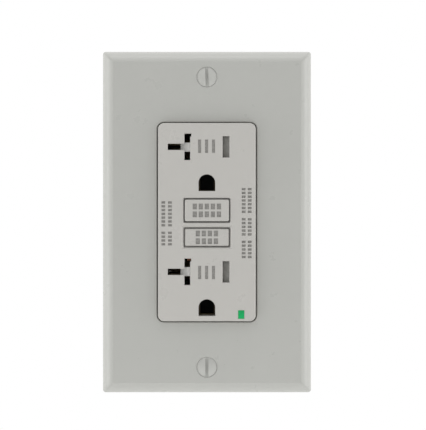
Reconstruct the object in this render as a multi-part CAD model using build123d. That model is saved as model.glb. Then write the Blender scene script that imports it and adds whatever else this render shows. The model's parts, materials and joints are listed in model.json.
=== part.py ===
from build123d import *
import math
import os

# Duplex ground-fault receptacle with its screw-on wall plate.
# Frame: +Z up, the front faces -Y, +Y runs into the wall. The origin is midway
# between the two box screws, in the wall plane. All sizes are in millimetres.

# Wall plate
plate_width = 69.85
plate_height = 114.3
plate_depth = 5.6
plate_wall = 1.9
plate_corner_r = 1.0
rim_height = 2.0
bevel_width = 3.5
bevel_arc_r = 6.5
window_gap = 0.45
window_edge_r = 0.35
plate_screw_spacing = 96.84

# Front of the device
face_width = 32.4
face_height = 65.8
face_corner_r = 2.0
face_proud = 3.0
face_edge_r = 0.45
cover_wall = 1.8
cover_front_wall = 2.2
flange_thick = 1.7
mark_depth = 0.35

# Strap and housing
strap_thick = 1.2
strap_length = 105.0
ear_width = 34.0
body_width = face_width + 9.0
body_height = face_height + 2.5
body_depth = 27.5
body_wall = 1.8
box_screw_spacing = 83.34
box_screw_r = 1.75
box_screw_neck_r = 1.45
box_screw_tip = 30.0
box_screw_head = 1.7
screw_washer = 0.5
screw_washer_r = 3.6

# Outlets
upper_row_z = 25.0
lower_row_z = -16.5
ground_drop = 11.9
hot_x = 6.35
neutral_x = -6.5
hot_slot_w = 2.25
hot_slot_h = 7.1
neutral_slot_w = 1.9
neutral_slot_h = 8.8
arm_slot_w = 5.55
arm_slot_h = 2.1
ground_hole_w = 5.55
ground_pin_reach = 21.0

# Buttons
button_width = 14.6
button_opening_w = 15.5
reset_z = 3.9
reset_height = 7.15
reset_opening_h = 8.15
test_z = -5.05
test_height = 5.7
test_opening_h = 6.7

# Terminals
terminal_y = 14.5
terminal_z = 17.0
brass_thick = 0.8
terminal_screw_r = 2.0
terminal_head_r = 3.9

# Clearances
shaft_gap = 0.08
seat_gap = 0.05

face_y = -(plate_depth + face_proud)
cover_inner_y = face_y + cover_front_wall
strap_y = -strap_thick
flange_y = strap_y - flange_thick
cavity_w = face_width - 2 * cover_wall
cavity_h = face_height - 2 * cover_wall
frame_w = cavity_w - 0.8
frame_h = cavity_h - 0.9
tray_y = cover_inner_y + 2.0
frame_rear_y = 11.0
ledge_y = 1.8
bay_half_w = 9.5
bay_low_z = test_z - 4.7
bay_high_z = reset_z + 5.3
rows = [upper_row_z, lower_row_z]
corner_screw_x = body_width / 2 - 2.8
corner_screw_z = body_height / 2 - 3.9
pocket_x = body_width / 2 - 5.4
pocket_inner_x = pocket_x - 1.2
board_y = body_depth - body_wall - 3.1
board_thick = 1.6
board_w = 2 * (pocket_inner_x - 0.6)
end_rib_z = body_height / 2 - body_wall - 1.5
board_h = 2 * (end_rib_z - 0.2)
clip_rear_y = 10.2
rivet_x = -(cavity_w / 2 + 2.3)
led_x = face_width / 2 - 4.8
led_z = -face_height / 2 + 2.25
coil_z = -17.4
coil_r = 7.4
solenoid_y = 16.4
solenoid_z = 16.7
latch_top_z = 10.2
lug_x = -9.6
lug_y = 5.2
lug_z = -box_screw_spacing / 2 + 0.47
lug_tip_y = 10.4


def box(x0, x1, y0, y1, z0, z1):
    """A box between three pairs of limits."""
    centre = Pos((x0 + x1) / 2, (y0 + y1) / 2, (z0 + z1) / 2)
    return centre * Box(abs(x1 - x0), abs(y1 - y0), abs(z1 - z0))


def rod_x(radius, y, z, x0, x1):
    """A cylinder along X."""
    return Pos((x0 + x1) / 2, y, z) * Rot(0, 90, 0) * Cylinder(radius, abs(x1 - x0))


def rod_y(radius, x, z, y0, y1):
    """A cylinder along Y."""
    return Pos(x, (y0 + y1) / 2, z) * Rot(90, 0, 0) * Cylinder(radius, abs(y1 - y0))


def rod_z(radius, x, y, z0, z1):
    """A cylinder along Z."""
    return Pos(x, y, (z0 + z1) / 2) * Cylinder(radius, abs(z1 - z0))


def cone_y(r0, r1, x, z, y0, y1):
    """A cone along Y, with radius r0 at y0 and r1 at y1."""
    return Pos(x, (y0 + y1) / 2, z) * Rot(-90, 0, 0) * Cone(r0, r1, y1 - y0)


def panel(sketch, y0, y1, x=0.0, z=0.0):
    """A sketch in the X-Z plane made solid from y0 to y1."""
    return Pos(x, y1, z) * Rot(90, 0, 0) * extrude(sketch, y1 - y0)


def slab(width, height, radius, y0, y1, x=0.0, z=0.0):
    """A round-cornered block facing -Y."""
    return panel(RectangleRounded(width, height, radius), y0, y1, x, z)


def countersunk(sketch, depth, y, x=0.0, z=0.0):
    """A 45-degree lead-in cutter around a sketch, in a surface at y facing -Y."""
    wide = offset(sketch, depth, kind=Kind.INTERSECTION)
    return Pos(x, y, z) * Rot(90, 0, 0) * mirror(extrude(wide, depth, taper=45), Plane.XY)


def coil_spring(radius, wire_r, turns, length):
    """An open coil spring along +Z from the origin."""
    path = Helix(length / turns, length, radius)
    section = Plane(origin=path @ 0, z_dir=path % 0) * Circle(wire_r)
    return sweep(section, path=path, is_frenet=True)


def save(shape, node):
    export_step(shape, f"parts/{node}.step")


def mitred_profile(half, rim, depth, bevel, arc_r):
    """Cross-section of a shallow tray front with curved or straight bevels."""
    left = (-half, -rim)
    left_top = (-half + bevel, -depth)
    right_top = (half - bevel, -depth)
    right = (half, -rim)
    if arc_r:
        rise = depth - rim
        chord = math.hypot(bevel, rise)
        sag = arc_r - math.sqrt(arc_r**2 - (chord / 2) ** 2)
        shift_x = sag * rise / chord
        shift_y = sag * bevel / chord
        mid_y = -(rim + depth) / 2 - shift_y
        mid_x = half - bevel / 2 + shift_x
        slopes = [
            ThreePointArc(left, (-mid_x, mid_y), left_top),
            ThreePointArc(right_top, (mid_x, mid_y), right),
        ]
    else:
        slopes = [Line(left, left_top), Line(right_top, right)]
    base = Polyline(right, (half, 0), (-half, 0), left)
    return make_face([slopes[0], Line(left_top, right_top), slopes[1], base])


def mitred_block(width, height, rim, depth, bevel, arc_r=0.0):
    """A tray front whose bevels meet in mitres at the corners."""
    across = extrude(mitred_profile(width / 2, rim, depth, bevel, arc_r), height, both=True)
    upright = extrude(mitred_profile(height / 2, rim, depth, bevel, arc_r), width, both=True)
    return across & (Rot(0, 90, 0) * upright)


def build_wall_plate():
    plate = mitred_block(plate_width, plate_height, rim_height, plate_depth, bevel_width, bevel_arc_r)
    far_x = plate_width / 2 - bevel_width
    far_z = plate_height / 2 - bevel_width
    corners = [e for e in plate.edges() if abs(e.center().X) > far_x and abs(e.center().Z) > far_z]
    plate = fillet(corners, plate_corner_r)
    inner_depth = plate_depth - plate_wall
    inner_w = plate_width - 2 * plate_wall
    inner_h = plate_height - 2 * plate_wall
    inner_bevel = bevel_width - plate_wall / 2
    cavity = mitred_block(inner_w, inner_h, inner_depth / 3, inner_depth, inner_bevel)
    plate -= cavity
    for side in (-1, 1):
        z = side * plate_screw_spacing / 2
        plate += rod_y(3.0, 0, z, -inner_depth - 0.2, strap_y)
    window_w = face_width + 2 * window_gap
    window_h = face_height + 2 * window_gap
    window = RectangleRounded(window_w, window_h, face_corner_r + window_gap / 2)
    plate -= panel(window, -plate_depth - 1, 1)
    front = plate.faces().filter_by(Plane.XZ).sort_by(Axis.Y)[0]
    plate = fillet(front.inner_wires()[0].edges(), window_edge_r)
    for side in (-1, 1):
        z = side * plate_screw_spacing / 2
        plate -= rod_y(2.1, 0, z, -plate_depth - 1, 1)
        plate -= cone_y(3.55, 2.1, 0, z, -plate_depth, -plate_depth + 1.668)
    save(plate, "wall_plate")


def build_plate_screws():
    screws = []
    for side, tilt in ((1, -2.5), (-1, 0)):
        z = side * plate_screw_spacing / 2
        edge_y = -plate_depth + 0.23
        cap_r = (3.3**2 + 1.0**2) / (2 * 1.0)
        dome = Pos(0, edge_y - 1.0 + cap_r, z) * Sphere(cap_r)
        dome &= rod_y(3.3, 0, z, edge_y - 1.2, edge_y + 0.01)
        neck_y = -plate_depth + 1.668
        screw = dome + cone_y(3.3, 2.05, 0, z, edge_y, neck_y)
        screw += rod_y(1.7, 0, z, neck_y - 0.2, 7.0)
        slot = Pos(0, edge_y - 0.6, z) * Rot(0, tilt, 0) * Box(1.0, 1.4, 8.0)
        screws.append(screw - slot)
    save(Compound(screws), "plate_screws")


def d_hole(width):
    """Ground opening: round above, flat below."""
    half = width / 2
    return Circle(half) + Pos(0, -half / 2) * Rectangle(width, half)


def t_slot():
    """Neutral opening: an upright slot with an arm to the left at mid height."""
    upright = Pos(neutral_x, 0) * Rectangle(neutral_slot_w, neutral_slot_h)
    arm_end = neutral_x - neutral_slot_w / 2 - arm_slot_w
    arm_mid = (arm_end + neutral_x) / 2
    arm = Pos(arm_mid, 0) * Rectangle(neutral_x - arm_end, arm_slot_h)
    nick_x = neutral_x + neutral_slot_w / 2
    nick = Pos(nick_x, neutral_slot_h / 2 - 0.5) * Rectangle(0.7, 1.0)
    return upright + arm + nick


def hot_slot():
    return Pos(hot_x, 0) * Rectangle(hot_slot_w, hot_slot_h)


def letter_blocks(words, pitch, width, height, x, z, upright=True):
    """A line of plain blocks, one per letter, standing in for small lettering."""
    total = sum(words) + len(words) - 1
    cells = []
    index = 0
    for word in words:
        for _ in range(word):
            along = (index - (total - 1) / 2) * pitch
            spot = Pos(x + along, z) if upright else Pos(x, z + along)
            size = (width, height) if upright else (height, width)
            cells.append(spot * Rectangle(*size))
            index += 1
        index += 1
    return cells


def cut_marks(shape, cells, y):
    """Sink a set of small blocks into a surface at y that faces -Y."""
    tools = [panel(cell, y - 0.5, y + mark_depth) for cell in cells]
    return shape - tools


def corner_spots():
    return [(sx * corner_screw_x, sz * corner_screw_z) for sx in (-1, 1) for sz in (-1, 1)]


def rivet_spots():
    return [(rivet_x, row - ground_drop + 4.0) for row in rows]


def build_face_cover():
    cover = slab(face_width, face_height, face_corner_r, face_y, flange_y)
    front = cover.faces().filter_by(Plane.XZ).sort_by(Axis.Y)[0]
    cover = fillet(front.edges(), face_edge_r)
    cover += slab(body_width - 0.6, body_height - 0.6, 2.5, flange_y, strap_y)
    for x, z in corner_spots():
        cover += rod_y(2.2, x, z, flange_y - 0.6, strap_y)
    cover -= slab(cavity_w, cavity_h, 1.0, cover_inner_y, strap_y + 1)
    for x, z in corner_spots():
        cover -= rod_y(1.3, x, z, flange_y - 0.2, strap_y + 1)
    for x, z in rivet_spots():
        cover -= rod_y(2.0, x, z, strap_y - 0.6, strap_y + 1)
    for z, height in ((reset_z, reset_opening_h), (test_z, test_opening_h)):
        cover -= slab(button_opening_w, height, 0.4, face_y - 1, cover_inner_y + 1, 0, z)
    cover -= countersunk(Rectangle(button_opening_w, test_opening_h), 0.6, face_y, 0, test_z)
    cover -= countersunk(Rectangle(button_opening_w, reset_opening_h), 0.2, face_y, 0, reset_z)
    for row in rows:
        for shape in (t_slot(), hot_slot()):
            cover -= panel(shape, face_y - 1, cover_inner_y + 1, 0, row)
            cover -= countersunk(shape, 0.2, face_y, 0, row)
        ground_z = row - ground_drop
        cover -= panel(d_hole(ground_hole_w), face_y - 1, cover_inner_y + 1, 0, ground_z)
        cover -= countersunk(d_hole(ground_hole_w), 0.2, face_y, 0, ground_z)
    cover -= box(led_x - 1.05, led_x + 1.05, face_y - 1, 0, led_z - 1.45, led_z + 1.45)
    cover -= box(led_x - 1.5, led_x + 1.5, cover_inner_y - 0.2, 0, led_z - 1.65, led_z + 1.65)
    cells = []
    for x in (1.75 - face_width / 2, 3.95 - face_width / 2):
        cells += letter_blocks([4, 7], 1.26, 0.8, 1.25, x, -0.4, upright=False)
    for x in (face_width / 2 - 4.0, face_width / 2 - 2.0):
        cells += letter_blocks([5, 5, 7], 1.25, 0.8, 1.25, x, -0.3, upright=False)
    for row, flip in ((upper_row_z, 1), (lower_row_z, -1)):
        for x in (-2.4, -0.1, 2.2):
            cells.append(Pos(x, row + 0.2 * flip) * Rectangle(1.0, 4.4))
    cover = cut_marks(cover, cells, face_y)
    save(cover, "face_cover")


def build_button(node, z, height, front_y, letters, socket_r=0.0):
    """A push button with a retaining flange behind the front wall."""
    stem = slab(button_width, height, 0.5, front_y, cover_inner_y + 0.4, 0, z)
    front = stem.faces().filter_by(Plane.XZ).sort_by(Axis.Y)[0]
    stem = fillet(front.edges(), 0.4)
    flange_h = height + 1.9 if socket_r else height + 2.3
    stem += slab(button_width + 1.7, flange_h, 0.4, cover_inner_y + 0.1, cover_inner_y + 1.0, 0, z)
    if socket_r:
        stem += rod_y(2.2, 0, z, cover_inner_y + 1.0, cover_inner_y + 1.4)
        stem -= rod_y(socket_r, 0, z, front_y + 1.6, cover_inner_y + 2)
    cells = []
    for side in (-1, 1):
        cells += letter_blocks([letters], 2.0, 1.4, 1.9, 0, z + side * 1.3)
    save(cut_marks(stem, cells, front_y), node)


def build_reset_parts():
    front_y = face_y - 0.5
    build_button("reset_button", reset_z, reset_height, front_y, 5, 1.25)
    neck_y = 12.7
    pin = rod_y(1.2, 0, reset_z, front_y + 1.6, neck_y)
    pin += rod_y(0.8, 0, reset_z, neck_y - 0.2, 17.7)
    pin += rod_y(1.2, 0, reset_z, 17.6, 18.4)
    pin += cone_y(1.2, 0.7, 0, reset_z, 18.4, 19.0)
    save(pin, "reset_pin")
    spring = coil_spring(2.95, 0.25, 4.5, ledge_y - 0.35 - (cover_inner_y + 1.35))
    place = Pos(0, cover_inner_y + 1.35, reset_z) * Rot(-90, 0, 0)
    save(place * spring, "reset_spring")


def build_test_parts():
    build_button("test_button", test_z, test_height, face_y + 0.2, 4)
    rear_y = cover_inner_y + 1.0
    points = [(-8.8, ledge_y - 0.05), (-5.6, ledge_y - 0.05), (-1.2, rear_y + 0.4), (4.4, rear_y + 0.4)]
    points += [(5.4, rear_y + 1.5)]
    outer = [(x, y - 0.3) for x, y in points]
    leaf = make_face(Polyline(points + outer[::-1] + points[:1]))
    strip = Pos(0, 0, test_z) * extrude(leaf, 1.3, both=True)
    save(strip, "test_spring")
    pad = rod_y(1.1, 5.0, test_z, ledge_y - 1.2, ledge_y)
    save(pad, "test_contact")


def build_shutter(name, row):
    """A sliding guard behind one pair of blade slots, with its return spring."""
    front_y = cover_inner_y + 0.2
    rear_y = tray_y - 0.15
    bar = box(-6.0, 8.3, front_y, rear_y, row - 1.5, row + 1.5)
    nose = Polyline((-6.0, front_y), (-8.8, rear_y - 0.3), (-8.8, rear_y), (-6.0, rear_y), (-6.0, front_y))
    bar += Pos(0, 0, row) * extrude(make_face(nose), 1.5, both=True)
    ramp = Polyline((4.7, rear_y - 0.4), (8.3, front_y), (8.3, rear_y), (4.7, rear_y), (4.7, rear_y - 0.4))
    pad = Pos(0, 0, row) * extrude(make_face(ramp), 4.35, both=True)
    bar -= box(4.7, 8.3, front_y - 1, rear_y + 1, row - 2, row + 2)
    save(bar + pad, f"shutter_{name}")
    spring = coil_spring(0.6, 0.12, 7, cavity_w / 2 - 8.3 - 0.3)
    place = Pos(8.45, (front_y + rear_y) / 2, row) * Rot(0, 90, 0)
    save(place * spring, f"shutter_spring_{name}")


def build_mounting_strap():
    strap = slab(body_width, body_height, 3.0, strap_y, 0)
    strap += slab(ear_width, strap_length, 3.5, strap_y, 0)
    for side in (-1, 1):
        for x in (-1, 1):
            notch = Pos(x * (ear_width / 2 - 3.2), side * box_screw_spacing / 2)
            strap -= panel(notch * SlotOverall(3.4, 1.2, rotation=90), strap_y - 1, 1)
        slot = SlotOverall(6.4, 4.2)
        strap -= panel(slot, strap_y - 1, 1, 0, side * box_screw_spacing / 2)
        strap -= rod_y(1.75, 0, side * plate_screw_spacing / 2, strap_y - 1, 1)
    strap -= slab(cavity_w + 0.4, cavity_h + 1.5, 1.0, strap_y - 1, 1)
    for x, z in corner_spots():
        strap -= rod_y(1.5, x, z, strap_y - 1, 1)
    for x, z in rivet_spots():
        strap -= rod_y(0.95, x, z, strap_y - 1, 1)
    strap -= box(lug_x - 4.5, lug_x + 4.5, strap_y - 1, 1, lug_z - 9.0, lug_z)
    lug = box(lug_x - 4.5, lug_x + 4.5, strap_y, lug_tip_y, lug_z, lug_z + strap_thick)
    lug -= rod_z(terminal_screw_r + shaft_gap, lug_x, lug_y, lug_z - 1, lug_z + 2)
    save(strap + lug, "mounting_strap")


def build_box_screws():
    screws = []
    washers = []
    for side in (-1, 1):
        z = side * box_screw_spacing / 2
        seat_y = strap_y - screw_washer
        top_y = seat_y - box_screw_head
        head = rod_y(3.4, 0, z, top_y, seat_y)
        edge = head.edges().filter_by(GeomType.CIRCLE).sort_by(Axis.Y)[0]
        head = fillet(edge, 1.1)
        head -= box(-4, 4, top_y - 0.5, top_y + 0.9, z - 0.55, z + 0.55)
        head += rod_y(box_screw_neck_r, 0, z, seat_y - 0.1, 0.3)
        head += rod_y(box_screw_r, 0, z, 0.2, box_screw_tip)
        screws.append(head)
        washer = rod_y(screw_washer_r, 0, z, seat_y, strap_y) - rod_y(box_screw_r + shaft_gap, 0, z, seat_y - 1, 1)
        washers.append(washer)
    save(Compound(screws), "box_screws")
    save(Compound(washers), "screw_washers")


def build_rear_body():
    body = slab(body_width, body_height, 3.0, 0, body_depth)
    rear = body.faces().filter_by(Plane.XZ).sort_by(Axis.Y)[-1]
    body = fillet(rear.edges(), 1.2)
    body -= slab(body_width - 2 * body_wall, body_height - 2 * body_wall, 1.5, -1, body_depth - body_wall)
    floor_y = body_depth - body_wall
    for side in (-1, 1):
        low = side * end_rib_z
        high = side * (body_height / 2 - 0.5)
        body += box(-9, -5, ledge_y, floor_y + 0.2, low, high)
        body += box(5, 9, ledge_y, floor_y + 0.2, low, high)
    for x, z in corner_spots():
        post = rod_y(3.0, x, z, 0, floor_y + 0.2)
        body += post & box(-body_width / 2, body_width / 2, 0, 40, -body_height / 2, body_height / 2)
    outer_x = body_width / 2
    for sx in (-1, 1):
        for sz in (-1, 1):
            z = sz * terminal_z
            low, high = sorted((sx * pocket_inner_x, sx * (outer_x - 0.5)))
            body += box(low, high, 7.1, floor_y + 0.2, z - 7.2, z + 7.2)
            low, high = sorted((sx * pocket_x, sx * (outer_x + 1)))
            body -= box(low, high, 8.5, 20.5, z - 6.0, z + 6.0)
            body -= rod_x(2.5, terminal_y, z, sx * (pocket_inner_x - 1), sx * (pocket_x + 1))
            for shift in (-3.5, 3.5):
                wire = SlotOverall(3.6, 2.5, rotation=90)
                entry_x = sx * (pocket_x + brass_thick + 1.25)
                body -= panel(wire, 20, body_depth + 1, entry_x, z + shift)
            leg_z = z + sz * 3.4
            low, high = sorted((sx * (pocket_inner_x - 1), sx * (pocket_x + 0.1)))
            if sz > 0:
                body -= box(low, high, clip_rear_y - 0.8, clip_rear_y + 0.2, leg_z - 1.2, leg_z + 1.2)
            else:
                body -= box(low, high, 15.9, 18.1, leg_z - 1.2, leg_z + 1.2)
    for x, z in corner_spots():
        body -= rod_y(1.5, x, z, -1, body_depth + 1)
        body -= rod_y(2.5, x, z, 20.5, body_depth + 1)
    for sx in (-1, 1):
        for sz in (-1, 1):
            body += rod_y(1.5, sx * 10.5, sz * 25.5, board_y + board_thick, floor_y + 0.2)
    body -= slab(18, 11, 1.0, body_depth - 0.4, body_depth + 1, 0, 0)
    for sz in (-1, 1):
        body -= box(-6, 6, body_depth - 0.4, body_depth + 1, sz * 24 - 0.6, sz * 24 + 0.6)
    save(body, "rear_body")


def build_housing_screws():
    screws = []
    for x, z in corner_spots():
        screw = rod_y(2.2, x, z, 20.5, 22.0) + rod_y(1.25, x, z, flange_y + 0.1, 20.6)
        screw -= box(x - 1.6, x + 1.6, 21.3, 23, z - 0.3, z + 0.3)
        screw -= box(x - 0.3, x + 0.3, 21.3, 23, z - 1.6, z + 1.6)
        screws.append(screw)
    save(Compound(screws), "housing_screws")


def build_contact_frame():
    """The moulding that carries the contacts, the shutters and the button bay."""
    block = slab(frame_w, frame_h, 0.8, tray_y, frame_rear_y)
    flange = slab(body_width - 6.4, body_height - 4.2, 1.0, 0, ledge_y)
    for x, z in corner_spots():
        flange -= rod_y(3.3, x, z, -1, 3)
    block += flange
    for row in rows:
        for side in (-1, 1):
            rail = sorted((row + side * 4.55, row + side * 5.3))
            block += box(1.0 - frame_w / 2, frame_w / 2 - 1.0, cover_inner_y + 0.25, tray_y + 0.1, *rail)
        front = tray_y + 1.3
        hot_wide = Pos(hot_x, 0) * Rectangle(hot_slot_w + 0.5, hot_slot_h + 0.5)
        t_wide = offset(t_slot(), 0.25, kind=Kind.INTERSECTION)
        block -= panel(hot_wide, tray_y - 1, front + 1, 0, row)
        block -= panel(t_wide, tray_y - 1, front + 1, 0, row)
        block -= box(hot_x - 1.6, hot_x + 1.6, front, 12, row - 4.6, row + 4.6)
        block -= box(neutral_x - 1.6, neutral_x + 1.6, front, 12, row - 4.9, row + 4.9)
        block -= box(0.7 - frame_w / 2, neutral_x, front, 12, row - 1.7, row + 1.7)
        ground_z = row - ground_drop
        block -= panel(d_hole(ground_hole_w - 0.4), tray_y - 1, front + 1, 0, ground_z)
        block -= box(-3.2, 3.2, front, frame_rear_y - 0.8, ground_z - 3.3, ground_z + 3.1)
        block -= box(rivet_x - 2, 0, -0.1, 1.4, ground_z - 1.7, ground_z + 5.8)
    for sx in (-1, 1):
        low, high = sorted((sx * 10.0, sx * 12.6))
        block -= box(low, high, clip_rear_y - 0.8, 12, lower_row_z - 3.4, upper_row_z + 3.4)
        low, high = sorted((sx * 6.0, sx * 12.6))
        for row in rows:
            block -= box(low, high, clip_rear_y - 0.8, 12, row - 3.4, row + 3.4)
        leg_z = terminal_z + 3.4
        low, high = sorted((sx * 12.0, sx * (frame_w / 2 + 0.7)))
        block -= box(low, high, clip_rear_y - 0.8, 12, leg_z - 1.3, leg_z + 1.3)
        low, high = sorted((sx * 3.3, sx * 12.0))
        block -= box(low, high, clip_rear_y - 0.9, 12, bay_high_z - 0.1, bay_high_z + 3.8)
    bay = box(-bay_half_w, bay_half_w, -10, 20, bay_low_z, bay_high_z)
    bay -= box(-bay_half_w, bay_half_w, ledge_y, ledge_y + 1.2, bay_low_z, bay_high_z)
    block -= bay
    block -= rod_y(1.2 + shaft_gap, 0, reset_z, -5, 8)
    block -= box(led_x - 1.3, led_x + 1.3, -10, 20, led_z - 2.5, led_z + 1.3)
    cup_end_y = face_y + ground_pin_reach
    for row in rows:
        ground_z = row - ground_drop
        block += box(-3.7, 3.7, frame_rear_y - 0.1, cup_end_y + 0.5, ground_z - 3.7, ground_z + 3.5)
        block -= box(-3.2, 3.2, frame_rear_y - 1.5, cup_end_y, ground_z - 3.3, ground_z + 3.1)
    save(block, "contact_frame")


def blade_clip(x, row, height):
    """Two spring leaves along an upright blade, flared at the front."""
    leaf = Polyline(
        (0.8, -1.2),
        (1.15, -1.9),
        (1.45, -1.75),
        (1.35, -1.1),
        (1.35, clip_rear_y),
        (0.75, clip_rear_y),
        (0.75, -1.1),
        (0.8, -1.2),
    )
    right = extrude(make_face(leaf), height / 2, both=True)
    base = box(-1.35, 1.35, clip_rear_y - 0.6, clip_rear_y, -height / 2, height / 2)
    return Pos(x, 0, row) * (right + mirror(right, Plane.YZ) + base)


def build_face_contacts():
    """Hot and neutral stampings: two clips, a bus, a load plate, a contact tab."""
    bus_y = clip_rear_y - 0.6
    for node, sx in (("hot_contacts", 1), ("neutral_contacts", -1)):
        x = hot_x if sx > 0 else neutral_x
        low, high = sorted((sx * 10.2, sx * 12.4))
        part = box(low, high, bus_y, clip_rear_y, lower_row_z - 3.2, upper_row_z + 3.2)
        for row in rows:
            part += blade_clip(x, row, 6.4)
            reach = sorted((x, sx * 12.4))
            part += box(*reach, bus_y, clip_rear_y, row - 3.2, row + 3.2)
            if sx < 0:
                leaf = box(0.9 - frame_w / 2, -8.6, -1.8, clip_rear_y, row + 0.8, row + 1.4)
                part += leaf + Pos(0, 0, -2.2) * leaf
        tab = sorted((sx * 3.8, sx * 11.0))
        part += box(*tab, bus_y, clip_rear_y, bay_high_z + 0.3, bay_high_z + 3.3)
        leg_z = terminal_z + 3.4
        leg = sorted((sx * 11.0, sx * (pocket_x + brass_thick)))
        part += box(*leg, bus_y, clip_rear_y, leg_z - 1.0, leg_z + 1.0)
        part += terminal_plate(sx, terminal_z)
        save(part, node)
    tips = [rod_y(1.5, sx * 5.4, bay_high_z + 1.8, clip_rear_y, clip_rear_y + 0.6) for sx in (-1, 1)]
    save(Compound(tips), "fixed_contact_tips")


def terminal_plate(sx, z):
    """The brass plate under a terminal clamp, tapped for its screw."""
    low, high = sorted((sx * pocket_x, sx * (pocket_x + brass_thick)))
    plate = box(low, high, 9.2, 19.6, z - 4.6, z + 4.6)
    return plate - rod_x(terminal_screw_r + shaft_gap, terminal_y, z, low - 1, high + 1)


def build_line_terminals():
    for node, sx in (("line_hot_terminal", 1), ("line_neutral_terminal", -1)):
        z = -terminal_z
        part = terminal_plate(sx, z)
        leg_z = z - 3.4
        near = sx * (pocket_inner_x - 1.6)
        leg = sorted((near, sx * (pocket_x + 0.1)))
        part += box(*leg, 16.0, 18.0, leg_z - 1.0, leg_z + 1.0)
        foot = sorted((near, near + sx * brass_thick))
        part += box(*foot, 16.0, board_y, leg_z - 1.0, leg_z + 1.0)
        save(part, node)


def build_ground_contacts():
    clips = []
    for row in rows:
        z = row - ground_drop
        clip = box(-2.95, 2.95, strap_y + 0.1, 9.0, z - 3.0, z + 2.4)
        clip -= box(-2.35, 2.35, -2, 10, z - 2.4, z + 3)
        tab = box(rivet_x + 2.0, -2.4, 0, brass_thick, z - 1.5, z + 5.6)
        tab += box(rivet_x - 1.6, rivet_x + 3.0, 0, brass_thick, z + 2.2, z + 5.6)
        tab -= rod_y(0.95, rivet_x, z + 4.0, -1, 2)
        clips.append(clip + tab)
    save(Compound(clips), "ground_contacts")
    rivets = []
    for x, z in rivet_spots():
        rivet = rod_y(0.9, x, z, strap_y - 0.4, 1.2)
        rivet += rod_y(1.6, x, z, strap_y - 0.4, strap_y)
        rivet += rod_y(1.6, x, z, brass_thick, 1.3)
        rivets.append(rivet)
    save(Compound(rivets), "ground_rivets")


def build_terminal_hardware():
    plate_x = pocket_x + brass_thick + seat_gap
    head_x = plate_x + 1.2 + seat_gap
    names = {(1, 1): "load_hot", (-1, 1): "load_neutral", (1, -1): "line_hot", (-1, -1): "line_neutral"}
    for (sx, sz), name in names.items():
        z = sz * terminal_z
        low, high = sorted((sx * plate_x, sx * (plate_x + 1.2)))
        clamp = box(low, high, terminal_y - 4.5, terminal_y + 4.5, z - 4.5, z + 4.5)
        clamp = fillet(clamp.edges().filter_by(Axis.X), 0.8)
        clamp -= rod_x(terminal_screw_r + shaft_gap, terminal_y, z, low - 1, high + 1)
        save(clamp, f"{name}_clamp")
        screw = terminal_screw(2.2, head_x - pocket_inner_x + 1.8)
        turn = 90 if sx > 0 else -90
        save(Pos(sx * head_x, terminal_y, z) * Rot(0, turn, 0) * screw, f"{name}_screw")


def terminal_screw(head_height, shank):
    """A screw along Z: seat at the origin, head above, shank below."""
    head = Pos(0, 0, head_height / 2) * Cylinder(terminal_head_r, head_height)
    rim = head.edges().filter_by(GeomType.CIRCLE).sort_by(Axis.Z)[-1]
    head = fillet(rim, 0.5)
    head -= Pos(0, 0, head_height) * Box(10, 1.1, 2.0)
    head -= Pos(0, 0, head_height) * Box(1.1, 4.6, 2.4)
    return head + Pos(0, 0, -shank / 2 + 0.05) * Cylinder(terminal_screw_r, shank + 0.1)


def build_ground_screw():
    seat_z = lug_z - seat_gap
    washer = rod_z(4.6, lug_x, lug_y, seat_z - 0.9, seat_z)
    washer -= rod_z(terminal_screw_r + shaft_gap, lug_x, lug_y, seat_z - 2, seat_z + 1)
    save(washer, "ground_washer")
    head_z = seat_z - 0.9 - seat_gap
    head = extrude(RegularPolygon(3.95, 6, major_radius=False), 2.8)
    head &= Cone(3.75, 5.6, 2.8, align=(Align.CENTER, Align.CENTER, Align.MIN)) + Pos(0, 0, 2.2) * Cylinder(0.1, 0.1)
    head -= Pos(0, 0, 2.8) * Box(10, 1.1, 2.4)
    shank = 5.6
    screw = head + Pos(0, 0, -shank / 2 + 0.05) * Cylinder(terminal_screw_r, shank + 0.1)
    save(Pos(lug_x, lug_y, head_z) * Rot(180, 0, 0) * screw, "ground_screw")


def build_contact_arms():
    pivot_z = -14.5
    for name, sx in (("hot", 1), ("neutral", -1)):
        low, high = sorted((sx * 3.9, sx * 6.9))
        arm = box(low, high, 12.2, 12.8, pivot_z, bay_high_z + 3.3)
        arm += rod_x(0.3, 12.5, pivot_z, low, high)
        save(arm, f"contact_arm_{name}")
        tip = rod_y(1.5, sx * 5.4, bay_high_z + 1.8, clip_rear_y + 0.65, 12.2)
        save(tip, f"contact_tip_{name}")
    straps = []
    for sx in (-1, 1):
        low, high = sorted((sx * 0.5, sx * 2.4))
        strip = box(low, high, 12.9, board_y, coil_z - 1.0, coil_z + 1.0)
        low, high = sorted((sx * 0.5, sx * 6.9))
        straps.append(strip + box(low, high, 12.9, 13.5, coil_z - 1.0, pivot_z + 0.1))
    save(Compound(straps), "line_conductors")


def ring_y(outer, inner, z, y0, y1):
    return rod_y(outer, 0, z, y0, y1) - rod_y(inner, 0, z, y0 - 1, y1 + 1)


def build_coils():
    housing = ring_y(coil_r, 3.0, coil_z, 13.6, board_y)
    housing -= ring_y(coil_r - 0.6, 3.6, coil_z, 14.4, board_y + 1)
    save(housing, "coil_housing")
    save(ring_y(coil_r - 0.8, 3.8, coil_z, 14.4, 18.2), "sense_coil")
    save(ring_y(coil_r - 0.8, 3.8, coil_z, 18.5, 22.3), "neutral_coil")


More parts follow.
